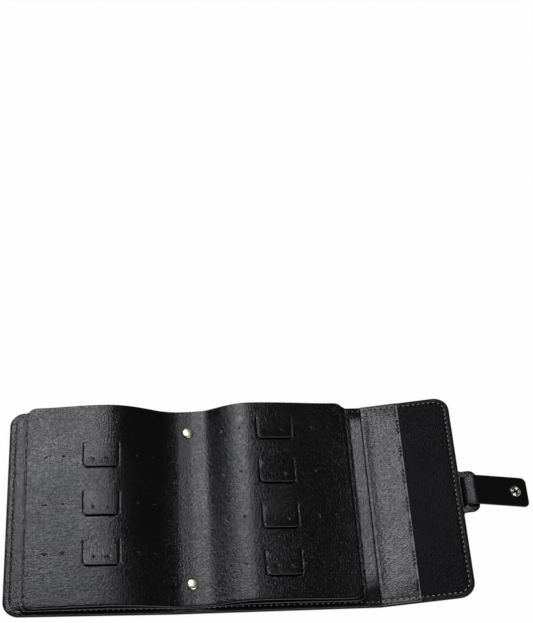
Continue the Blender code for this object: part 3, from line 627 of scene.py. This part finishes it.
def tab_slit(x, y):
    """The slit round a tab: down one side, across and up the other, so it hinges at its top."""
    top, low = y + TAB_HEIGHT / 2, y - TAB_HEIGHT / 2
    loop = []
    for inset, way in ((0, 1), (TAB_SLIT, -1)):
        half, corner, foot = TAB_HALF - inset, TAB_CORNER - inset, low + inset
        path = [(x - half, top)] + arc((x - half + corner, foot + corner), corner, 180, 270, 6)
        path += arc((x + half - corner, foot + corner), corner, 270, 360, 6) + [(x + half, top)]
        loop += path[::way]
    return spaced(loop, CUT_STEP)


def tab_middles(side):
    """The middle of each tab on one page, by its row."""
    rows, pitch, middle = ROWS[side]
    return [(side * TAB_AT, middle + ((rows - 1) / 2 - row) * pitch) for row in range(rows)]


def page_cuts(side):
    """All earring holes and tab slits of one page."""
    cuts = []
    for tab, y in tab_middles(side):
        spots = [(side * pair + way * PAIR_SPACING / 2, y) for pair in HOLE_PAIRS_AT for way in (-1, 1)]
        spots += [(tab + way * TAB_PAIR_SPACING / 2, y - TAB_HOLE_DROP) for way in (-1, 1)]
        cuts += [arc(spot, HOLE_RADIUS, 0, 360, 12)[:-1] for spot in spots] + [tab_slit(tab, y)]
    return cuts


def leaf_rise(u, y, near, side, reach, wave_share):
    """How high a leaf stands over its middle, at u out from the binding line. It steps up on to the cover's
    board, climbs to its crest and drops again to its edge, less so at the near end of the book."""
    crest_at, crest, drop, near_share, past_fold, lift_from = WAVE[side]
    fold = abs(PAGE_FOLD[side])
    growth = near_share + (1 - near_share) * np.clip((y - near) / (FAR_EDGE - near), 0, 1)
    start = fold + past_fold
    out = np.clip((u - start) / (crest_at - start), 0, 1)
    climb = (np.hypot(out, WAVE_ROUNDING) - WAVE_ROUNDING) / (math.hypot(1, WAVE_ROUNDING) - WAVE_ROUNDING)
    past = np.clip((u - crest_at) / (reach - crest_at), 0, 1)
    wave = crest * np.sin(np.pi / 2 * climb) - drop * (1 - np.cos(np.pi * past)) / 2
    lift = BOARD_RISE * eased((u - lift_from) / (fold + LIFT_PAST_FOLD - lift_from))
    # The lower leaf's free edge curls up a little beyond the upper leaf
    curl = EDGE_CURL * np.clip(1 - (reach - u) / CURL_WIDTH, 0, 1) ** 2 if wave_share < 1 else 0.0
    return lift + wave * growth * wave_share + curl


def leaf_form(level, near, reach, wave_share):
    """Bends a flat leaf into its wave. The sheet keeps its length, so the wave draws its edge in, and the
    left page lies slightly slewed."""
    def form(flat):
        side = np.where(flat[:, 0] >= 0, 1, -1)
        u, y = np.abs(flat[:, 0]), flat[:, 1]

        def rise(at):
            left, right = (leaf_rise(at, y, near, way, reach, wave_share) for way in (-1, 1))
            return np.where(side > 0, right, left)

        step = u / MARCH_STEPS
        along, height = np.zeros_like(u), rise(np.zeros_like(u))
        for i in range(1, MARCH_STEPS + 1):
            climb = rise(step * i) - height
            along += np.sqrt(np.maximum(0.0, step * step - climb * climb))
            height = height + climb
        z = level + flat[:, 2] + height + tab_lift(flat)
        x = side * along
        slew = np.where(side < 0, LEFT_PAGE_SLEW * eased((u + FRONT_FOLD) / SLEW_LENGTH), 0.0)
        out = x - FRONT_FOLD
        x, y = x - y * np.sin(slew), y + out * np.sin(slew)
        x1, z1 = front_tilted(x, z)
        return np.stack([np.where(side > 0, x, x1), y, np.where(side > 0, z, z1)], 1)
    return form


def tab_lift(flat):
    """How far each point of the tabs stands up: a tab bends up from its uncut side to its free edge."""
    lift = np.zeros(len(flat))
    for side in (1, -1):
        for tab, middle in tab_middles(side):
            down = (middle + TAB_HEIGHT / 2 - flat[:, 1]) / TAB_HEIGHT
            across = np.abs(flat[:, 0] - tab)
            edge = TAB_SLIT / 2
            into_corner = np.hypot(np.maximum(across - TAB_HALF + TAB_CORNER, 0),
                                   np.maximum(down * TAB_HEIGHT - TAB_HEIGHT + TAB_CORNER, 0))
            on_tab = (across < TAB_HALF - edge) & (down > 0) & (into_corner < TAB_CORNER - edge)
            lift += np.where(on_tab, TAB_LIFT * np.clip(down, 0, 1) ** 2, 0.0)
    return lift


def make_leaf(name, level, near, reach, wave_share, finish, edge):
    """One leaf in three pieces: left page, the middle under the screws, right page."""
    form = leaf_form(level, near, reach, wave_share)
    # The screw's head covers its hole, which is wide enough for the shank when the strip is drawn in
    screws = [arc((0.0, side * SCREW_HALF), SCREW_HOLE, 0, 360, 24)[:-1] for side in (-1, 1)]
    rows = lines(near, FAR_EDGE, LEAF_GRID)
    folds = FRONT_FOLD, SPINE_FOLD
    middle = cut_sheet(f"{name}_middle_dressed", rounded(*folds, near, FAR_EDGE), screws,
                       lines(*folds, LEAF_GRID), rows, 0.0, LEAF, folds, 0.0002)
    shape(middle, form, finish, edge)
    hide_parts(f"{name}_leaf_middle")
    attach(middle, "spine")
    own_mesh(middle)
    for word, body, side, low, high in (("left", "front_cover", -1, -reach, FRONT_FOLD),
                                        ("right", f"{name}_page", 1, SPINE_FOLD, reach)):
        radii = (PAGE_CORNER[-1], 0.0) if side < 0 else (0.0, PAGE_CORNER[1])
        fold = PAGE_FOLD[side]
        page = cut_sheet(f"{name}_{word}_page_dressed", rounded(low, high, near, FAR_EDGE, *radii),
                         page_cuts(side), lines(low, high, LEAF_GRID), rows, 0.0, LEAF, (fold,), 0.00018)
        shape(page, form, finish, edge)
        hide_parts(f"{name}_{word}_page")
        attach(page, body)
        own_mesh(page)


# Belt and strap


def make_ribbon(name, path, joined, finish, paint, nodes):
    """A strap along a path of (x, z) points, cut flat and then bent along it. An end that joins no
    neighbour has rounded corners."""
    path = np.array(path)
    length = np.concatenate([[0], np.cumsum(np.hypot(*np.diff(path, axis=0).T))])
    total = length[-1]
    outline = rounded(0.0, total, -BELT_HALF, BELT_HALF, *(0.0 if join else BELT_CORNER for join in joined))
    obj = cut_sheet(name, outline, [], lines(0.0, total, BELT_GRID), lines(-BELT_HALF, BELT_HALF, 0.0029),
                    -BELT_THICKNESS / 2, BELT_THICKNESS / 2,
                    [end for end, join in zip((0.0, total), joined) if join], 0.0003)
    tangent = np.gradient(path, length, axis=0)
    tangent /= np.linalg.norm(tangent, axis=1)[:, None]

    def form(flat):
        s = flat[:, 0]
        x, z = (np.interp(s, length, column) for column in path.T)
        tx, tz = (np.interp(s, length, column) for column in tangent.T)
        size = np.hypot(tx, tz)
        return np.stack([x - tz / size * flat[:, 2], flat[:, 1], z + tx / size * flat[:, 2]], 1)

    shape(obj, form, finish, paint)
    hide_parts(*nodes)
    return obj


def smooth_path(points, count):
    """A smooth curve through the points, evenly spread."""
    p = [2 * points[0] - points[1], *points, 2 * points[-1] - points[-2]]
    made = [0.5 * (2 * b + (c - a) * t + (2 * a - 5 * b + 4 * c - d) * t * t
                   + (3 * b - a - 3 * c + d) * t ** 3)
            for a, b, c, d in zip(p, p[1:], p[2:], p[3:]) for t in np.linspace(0, 1, count, endpoint=False)]
    return np.array([*made, points[-1]])


def make_belt(finish, paint):
    """The belt, in stretches that each cross one fold, and the strap that carries the snap."""
    middle = BELT_THICKNESS / 2
    start = FRONT_FOLD - STUD_FROM_FOLD - STUD_TAIL
    for name, low, high, fold, first, second in STRETCHES:
        low, high = max(low, start), min(high, FLAP_EDGE - BELT_SHORT)
        count = 34 if name == "flap" else int((high - low) / BELT_GRID)
        path = in_world([(x, middle) for x in np.linspace(low, high, count)])
        obj = make_ribbon("belt_under_flap" if name == "flap" else f"belt_{name}", path,
                          (low != start, True), finish, paint, [STANDS_FOR[name][2]])
        blend_fold(obj, first, second, fold)
    # Up through the slot, over the tongue in a low arch, and down to the strap's own fold
    arch = [(-0.0030, 0.00070), (0.0008, 0.00080), (0.0018, 0.0018), (0.0027, 0.0031), (0.0042, 0.0041),
            (0.0065, 0.0047), (0.0090, 0.0052), (0.0115, 0.0055), (0.0136, 0.0051),
            (STRAP_FOLD - FLAP_EDGE, 0.0042)]
    rise = in_world([(FLAP_EDGE + x, z) for x, z in arch])
    hinge = rise[-1]
    slope = FLAP_TILT - STRAP_DROOP
    reach = STRAP_END - STRAP_FOLD
    tail = [hinge + np.array([math.cos(slope), math.sin(slope)]) * reach * share
            for share in (0.2, 0.4, 0.6, 0.8, 1)]
    obj = make_ribbon("strap_dressed", smooth_path([*rise, *tail], 12), (True, False), finish, paint,
                      ["flap_belt", "strap_end"])
    blend_fold(obj, "flap", "strap", *hinge, STRAP_BEND)


# Sewing


def stitch_tree(thread, hole):
    """A row of stitches along a seam line, each a short length of thread that dips into its holes."""
    tree = bpy.data.node_groups.new("sewn_seam", "GeometryNodeTree")
    tree.interface.new_socket("Geometry", in_out="INPUT", socket_type="NodeSocketGeometry")
    for name in ("Pitch", "Stitch Length", "Thread Radius", "Hole Radius", "Unevenness"):
        tree.interface.new_socket(name, in_out="INPUT", socket_type="NodeSocketFloat")
    tree.interface.new_socket("Geometry", in_out="OUTPUT", socket_type="NodeSocketGeometry")
    given = node(tree, "NodeGroupInput").outputs
    places = node(tree, "GeometryNodeResampleCurve", {"mode": "LENGTH"}, Curve=given["Geometry"],
                  Length=given["Pitch"])
    radius = given["Thread Radius"]
    bead = node(tree, "GeometryNodeMeshUVSphere", {"Segments": 8, "Rings": 6}, Radius=radius)
    stretch = node(tree, "ShaderNodeMath", {"operation": "DIVIDE"}, given["Stitch Length"], radius)
    halve = node(tree, "ShaderNodeMath", {"operation": "MULTIPLY"}, stretch, 0.5)
    scale = node(tree, "ShaderNodeCombineXYZ", None, halve, 1.0, 1.0)
    long_bead = node(tree, "GeometryNodeTransform", Geometry=bead, Scale=scale)
    tangent = node(tree, "GeometryNodeInputTangent")
    along = node(tree, "FunctionNodeAlignRotationToVector", {"axis": "X"}, Vector=tangent)
    # Needle and thread aren't perfectly even: each stitch is a little longer or shorter
    shortest = node(tree, "ShaderNodeMath", {"operation": "SUBTRACT"}, 1.0, given["Unevenness"])
    uneven = node(tree, "FunctionNodeRandomValue", {"Seed": 7}, Min=shortest)
    sizes = node(tree, "ShaderNodeCombineXYZ", None, uneven.outputs["Value"], 1.0, 1.0)
    row = node(tree, "GeometryNodeInstanceOnPoints", Points=places, Instance=long_bead,
               Rotation=along, Scale=sizes)
    real = node(tree, "GeometryNodeRealizeInstances", Geometry=row)
    smooth = node(tree, "GeometryNodeSetShadeSmooth", Geometry=real)
    sewn = node(tree, "GeometryNodeSetMaterial", {"Material": thread}, Geometry=smooth)
    # Between two stitches the thread goes down, and a flat near-black pit at the needle's hole is painted
    # shade in the hole
    half_pitch = node(tree, "ShaderNodeMath", {"operation": "MULTIPLY"}, given["Pitch"], 0.5)
    onward = node(tree, "ShaderNodeVectorMath", {"operation": "SCALE"}, Vector=tangent,
                  Scale=half_pitch)
    between = node(tree, "GeometryNodeSetPosition", Geometry=places, Offset=onward)
    pit = node(tree, "GeometryNodeMeshUVSphere", {"Segments": 8, "Rings": 6}, Radius=given["Hole Radius"])
    flat_pit = node(tree, "GeometryNodeTransform", {"Scale": (1.0, 1.0, 0.3)}, Geometry=pit)
    pits = node(tree, "GeometryNodeInstanceOnPoints", Points=between,
                Instance=flat_pit)
    real_pits = node(tree, "GeometryNodeRealizeInstances", Geometry=pits)
    dark = node(tree, "GeometryNodeSetMaterial", {"Material": hole}, Geometry=real_pits)
    both = node(tree, "GeometryNodeJoinGeometry")
    for part in (sewn, dark):
        feed(tree, both, Geometry=part)
    node(tree, "NodeGroupOutput", Geometry=both)
    return tree


def sew(name, runs, tree, pitch=STITCH_PITCH, length=STITCH_LENGTH, radius=THREAD_RADIUS, hole=HOLE_SIZE):
    """Sews along the given runs of world points. The stitches are one piece."""
    curve = bpy.data.curves.new(name, "CURVE")
    curve.dimensions = "3D"
    for run in runs:
        spline = curve.splines.new("POLY")
        spline.points.add(len(run) - 1)
        for point, place in zip(spline.points, run):
            point.co = (*place, 1.0)
    guide = placed(f"{name}_guide", curve)
    seam = guide.modifiers.new("seam", "NODES")
    seam.node_group = tree
    sizes = {"Pitch": pitch, "Stitch Length": length, "Thread Radius": radius, "Hole Radius": hole,
             "Unevenness": UNEVENNESS}
    for item in tree.interface.items_tree:
        if item.name in sizes:
            seam[item.identifier] = sizes[item.name]
    mesh = mesh_from_modifiers(guide)
    bpy.data.objects.remove(guide, do_unlink=True)
    return placed(name, mesh)


def seam_runs(low, high, level):
    """The seam line round the cover between two cross lines, at a level, in the world."""
    corner = CORNER - SEAM_INSET
    loop = spaced(rounded(*SEAM_COLUMNS, *reversed(SEAM_ROWS), corner, corner), 0.001)
    points = np.array([(x, y, level) for x, y in loop + loop[:1]])
    chosen = (points[:, 0] >= low) & (points[:, 0] <= high)
    breaks = np.flatnonzero(np.diff(chosen)) + 1
    runs = [run for run, use in zip(np.split(points, breaks), np.split(chosen, breaks)) if use[0]]
    if len(runs) > 1 and chosen[0] and chosen[-1]:
        runs = [np.vstack([runs[-1], runs[0]]), *runs[1:-1]]
    return [on_cover(run) for run in runs if len(run) > 2]


def make_seams(tree, hem_tree):
    """The seam round the cover, seen inside and outside, and the pocket's hem."""
    sunk = THREAD_RADIUS * 0.35
    for name, low, high, fold, first, second in STRETCHES:
        for word, level in (("inside", LINING_TOP - SEAM_GROOVE + sunk),
                            ("outside", LEATHER_LOW + SEAM_GROOVE - sunk)):
            obj = sew(f"stitches_{word}_{name}", seam_runs(low, high, level), tree)
            blend_fold(obj, first, second, fold)
    half = BOOK_HALF - 0.0025
    across = POCKET_EDGE - HEM_INSET
    line = [(across, y, LINING_TOP + POCKET_TOP + 0.00005 + HEM_STAND * pocket_free(y))
            for y in np.arange(-half, half, 0.001)]
    ride_gusset(sew("stitches_pocket_hem", [on_cover(np.array(line))], hem_tree, HEM_PITCH, HEM_LENGTH,
                    HEM_THREAD, HEM_HOLE))
    for word, side in (("near", -1), ("far", 1)):
        run = [(x, side * (BOOK_HALF - SEAM_INSET), LINING_TOP + POCKET_TOP - SEAM_GROOVE + sunk)
               for x in np.arange(CREASE + 0.003, POCKET_EDGE - 0.001, 0.001)]
        ride_gusset(sew(f"stitches_pocket_{word}", [on_cover(np.array(run))], tree))


# Metal


def turned_metal(name, profile, place, tilt, finish, body, node_name):
    """A turned piece from its closed (radius, height) profile, set at its place and tilt."""
    bm = bmesh.new()
    steps = 64
    turns = [2 * math.pi * i / steps for i in range(steps)]
    rings = [[bm.verts.new((radius * math.cos(turn), radius * math.sin(turn), height))
              for turn in (turns if radius else turns[:1])] for radius, height in profile]
    for a, b in zip(rings, rings[1:] + rings[:1]):
        if len(a) == 1 and len(b) == 1:
            continue
        for i in range(steps):
            corners = [a[i % len(a)], a[(i + 1) % len(a)], b[(i + 1) % len(b)], b[i % len(b)]]
            bm.faces.new(list(dict.fromkeys(corners)))
    bmesh.ops.recalc_face_normals(bm, faces=bm.faces)
    obj = solid_object(name, bm)
    mesh = obj.data
    mesh.transform(Matrix.Translation(place) @ Matrix.Rotation(tilt, 4, "Y"))
    mesh.materials.append(finish)
    mesh.shade_smooth()
    mesh.set_sharp_from_angle(angle=math.radians(35))
    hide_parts(node_name)
    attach(obj, body)


def make_metal(nickel, gold):
    """The heads and barrels of the post screws, and the snap's cap and socket."""
    head = UPPER_LEAF + LEAF + METAL_GAP
    # A nearly flat, polished top, a rounded rim, and the threaded barrel that goes down through the leaves
    top = head + HEAD_HEIGHT
    profile = [(0, head), (0.0016, head), (0.0016, 0.0020), (0.0023, 0.0020), (0.0023, head),
               (0.0048, head), (0.0050, head + 0.0002), (0.0050, top - 0.0011), (0.0049, top - 0.0008),
               (0.0047, top - 0.0006), (0.0043, top - 0.00042), (0.0032, top - 0.00022),
               (0.0018, top - 0.00007), (0, top)]
    for number, side in ((1, 1), (2, -1)):
        turned_metal(f"screw_dome_{number}", profile, (0, side * SCREW_HALF, 0), 0, gold, "spine",
                     f"binding_barrel_{number}")
    slope = STRAP_DROOP - FLAP_TILT
    inner = BELT_THICKNESS / 2
    hinge = in_world([(STRAP_FOLD, LEATHER_TOP + METAL_GAP + inner)])[0]
    out = STRAP_END - STRAP_FOLD - SNAP_FROM_END
    centre = (hinge[0] + out * math.cos(slope), 0.0, hinge[1] - out * math.sin(slope))
    base = inner + METAL_GAP
    ring = [(0.0021, 0), (0.0050, 0), (0.0051, 0.0003), (0.0050, 0.0007), (0.0046, 0.0011),
            (0.0043, 0.0015), (0.0038, 0.0017), (0.0033, 0.0016), (0.0030, 0.0012), (0.0027, 0.0011),
            (0.0024, 0.0013), (0.0021, 0.0010)]
    socket = [(r, base + h) for r, h in ring]
    turned_metal("snap_socket_ring", socket, centre, slope, nickel, "strap", "snap_socket")
    outer = -base
    cap = [(0, outer), (0.0022, outer), (0.0022, inner), (0.0029, inner), (0.0029, outer), (0.0059, outer)]
    turns = [math.pi / 2 * i / CAP_STEPS for i in range(CAP_STEPS)]
    cap += [(CAP_RADIUS * math.cos(turn), outer - (CAP_RIM + CAP_CROWN * math.sin(turn))) for turn in turns]
    cap.append((0, outer - (CAP_RIM + CAP_CROWN)))
    turned_metal("snap_cap_dome", cap, centre, slope, nickel, "strap", "snap_cap")


def make_room():
    """A pale floor, one soft light behind on the left, a fill from the front, and the camera."""
    mesh = bpy.data.meshes.new("floor")
    mesh.from_pydata([(-4, -4, 0), (4, -4, 0), (4, 4, 0), (-4, 4, 0)], [], [(0, 1, 2, 3)])
    floor = placed("floor", mesh)
    floor.location.z = FLOOR_LEVEL
    made, tree, shader = new_material("pale_floor", 0.9, specular=0.1)
    shader.inputs["Base Color"].default_value = colour("#F2F2F2")
    # The camera, and what mirrors or lets through the floor, sees it white, with a part of its shadow
    path = node(tree, "ShaderNodeLightPath").outputs
    seen = path["Is Camera Ray"]
    for ray in ("Is Glossy Ray", "Is Transmission Ray"):
        seen = node(tree, "ShaderNodeMath", {"operation": "MAXIMUM"}, seen, path[ray])
    part = node(tree, "ShaderNodeMath", {"operation": "MULTIPLY"}, seen, FLOOR_WHITE)
    white = node(tree, "ShaderNodeEmission")
    mix = node(tree, "ShaderNodeMixShader", None, part, shader,
               white)
    feed(tree, tree.nodes["Material Output"], Surface=mix)
    mesh.materials.append(made)

    world = bpy.data.worlds.new("studio")
    bpy.context.scene.world = world
    world.use_nodes = True
    background = world.node_tree.nodes["Background"].inputs
    background["Color"].default_value = (1, 1, 1, 1)
    background["Strength"].default_value = AMBIENT

    for name, place, aim, size, power in (
            ("window_behind_left", (-0.30, 0.83, 1.20), (0.0, 0.0, 0.0), (0.32, 0.9), 6.6),
            ("fill_in_front", (0.25, -1.30, 1.30), (0.05, 0.0, 0.0), (1.4, 1.0), 20)):
        data = bpy.data.lights.new(name, "AREA")
        data.shape = "RECTANGLE"
        data.size, data.size_y = size
        data.energy = power
        data.color = (0.95, 0.95, 1.0)
        lamp = placed(name, data)
        lamp.location = place
        lamp.rotation_euler = (Vector(place) - Vector(aim)).to_track_quat("Z", "Y").to_euler()

    camera = bpy.data.cameras.new("camera")
    camera.lens = CAMERA_LENS
    camera.sensor_width = 36.0
    view = placed("camera", camera)
    azimuth, elevation, roll = (math.radians(angle) for angle in CAMERA_ANGLES)
    ahead = Vector((math.sin(azimuth) * math.cos(elevation), math.cos(azimuth) * math.cos(elevation),
                    -math.sin(elevation)))
    level = ahead.cross(Vector((0, 0, 1))).normalized()
    above = level.cross(ahead)
    right = math.cos(roll) * level + math.sin(roll) * above
    up = math.cos(roll) * above - math.sin(roll) * level
    turn = Matrix((right, up, -ahead)).transposed()
    view.matrix_world = Matrix.Translation(CAMERA_PLACE) @ turn.to_4x4()
    bpy.context.scene.camera = view
    bpy.context.scene.view_settings.view_transform = "Standard"


def main():
    cover = pebbled_pu("pebbled_pu_cover", "#0D0D10", "#030304", 0.24, 2.1, 0.09, 0.50)
    lining = pebbled_pu("pebbled_pu_lining", "#0D0D10", "#030304", 0.25, 2.1, 0.09, 0.55)
    crinkled = pebbled_pu("crinkled_pu_pocket", "#0F0F12", "#030304", 0.25, 1.6, 0.08, 0.58, stretch=2.5)
    turned = pebbled_pu("pebbled_pu_turned_edge", "#0D0D0F", "#030304", 0.34, 1.8, 0.11, 0.22)
    dark = pebbled_pu("smooth_pu_flap_lining", "#0C0D10", "#020203", 0.34, 1.9, 0.13, 0.11)
    leaf = pebbled_pu("pebbled_pu_leaf", "#0B0B0E", "#020203", 0.23, 2.2, 0.09, 0.50)
    belt = pebbled_pu("pebbled_pu_belt", "#0D0D10", "#030304", 0.28, 1.9, 0.09, 0.48)
    # The cut edge of coated leather: its knitted backing shows as short pale fibres
    backing = mottled("cut_edge_backing", 0.85, 0.2, "#343436", "#77777A", 0.55, 0.10)
    # Edge paint on the sewn cover: black, rounded, slightly shiny and a little uneven
    paint = mottled("edge_paint", 0.38, 0.35, "#111113", "#202023", 1.6, 0.05)
    # Bonded polyester thread, warm grey, its plies drawn as coarse as a stitch shows
    thread = mottled("sewing_thread", 0.6, 0.3, "#838177", "#BAB7AB", 0.35, 0.05)
    dark_thread = mottled("black_sewing_thread", 0.6, 0.3, "#0C0C0D", "#1A1A1B", 0.35, 0.05)
    # Painted shade in each needle hole, where the pulled-in leather lies in shade
    hole = mottled("painted_needle_hole_shade", 0.9, 0.05, "#030303", "#060606", 0.5)
    # The pocket's raw hem: the pale core of the coated leather shows along its cut, and the same pale
    # colour on a narrow band of its top is a painted highlight
    raw = mottled("raw_hem_core_and_painted_highlight", 0.7, 0.3, "#6E6E70", "#B4B4B2", 0.8, 0.05)
    # Plated brass, polished: bright, with faint handling marks that catch the light
    nickel = mottled("polished_nickel_snap", 0.18, 0.5, "#B8B2A4", "#EDE8DC", 1.1, metallic=1.0)
    gold = mottled("pale_gold_screw", 0.26, 0.5, "#DDD2AE", "#F2EBD6", 2.5, metallic=1.0)
    # Bookbinder's grey board, pressed from waste paper, with flecks
    board = mottled("binders_board", 0.9, 0.2, "#7A756B", "#A29C90", 1.2, 0.04)
    make_outer_leather(cover, paint)
    make_lining(lining, dark, turned, paint)
    make_pocket(crinkled, raw)
    make_leaf("lower", LOWER_LEAF, LOWER_NEAR, LOWER_REACH, LOWER_WAVE, leaf, backing)
    make_leaf("upper", UPPER_LEAF, UPPER_NEAR, UPPER_REACH, 1.0, leaf, backing)
    make_belt(belt, paint)
    make_seams(stitch_tree(thread, hole), stitch_tree(dark_thread, hole))
    make_metal(nickel, gold)
    for name, finish in (("front_board", board), ("back_board", board), ("snap_stud", nickel),
                         ("stud_post", nickel), ("binding_screw_1", gold), ("binding_screw_2", gold)):
        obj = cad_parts[name]
        obj.data.materials.clear()
        obj.data.materials.append(finish)
    make_room()


main()
